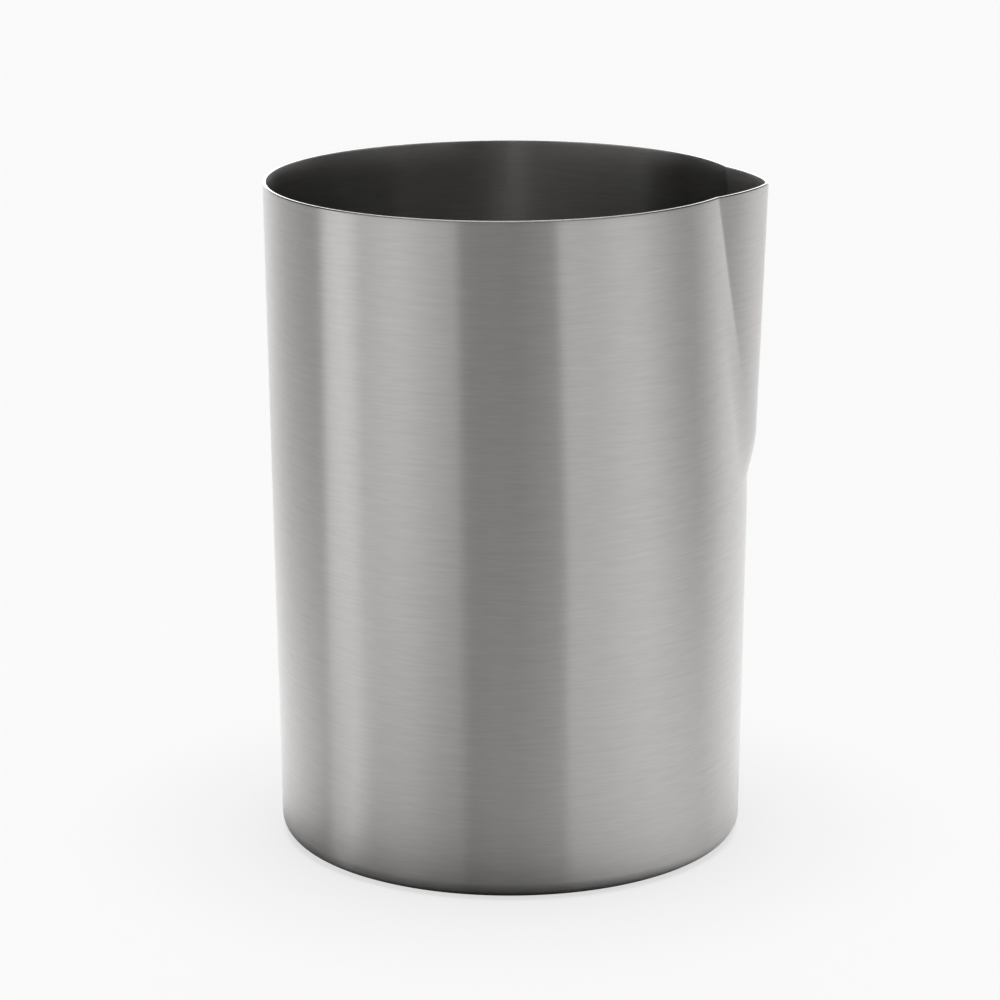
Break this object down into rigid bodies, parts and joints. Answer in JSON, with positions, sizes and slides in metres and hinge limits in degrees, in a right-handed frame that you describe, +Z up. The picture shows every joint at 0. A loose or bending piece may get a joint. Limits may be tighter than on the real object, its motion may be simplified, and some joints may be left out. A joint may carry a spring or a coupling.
{
  "type": "mixing glass",
  "caption": "Straight, slightly tapered brushed steel stirring vessel with an open top and a pouring lip pressed out of its wall.",
  "frame": {"origin": "centre of the underside, on the vessel's axis, in the plane that it stands on", "axes": "+Z up along the vessel's axis, +X from the axis towards the pouring lip"},
  "size_m": [0.0923, 0.0898, 0.1238],
  "materials": {
    "wall_steel": "fine brushing round the circumference, satin",
    "base_steel": "fine brushing round the circumference on the corner and in circles on the floor, satin"
  },
  "bodies": {
    "root": {"wall_sleeve": "wall_steel", "base_dish": "base_steel"}
  },
  "joints": []
}
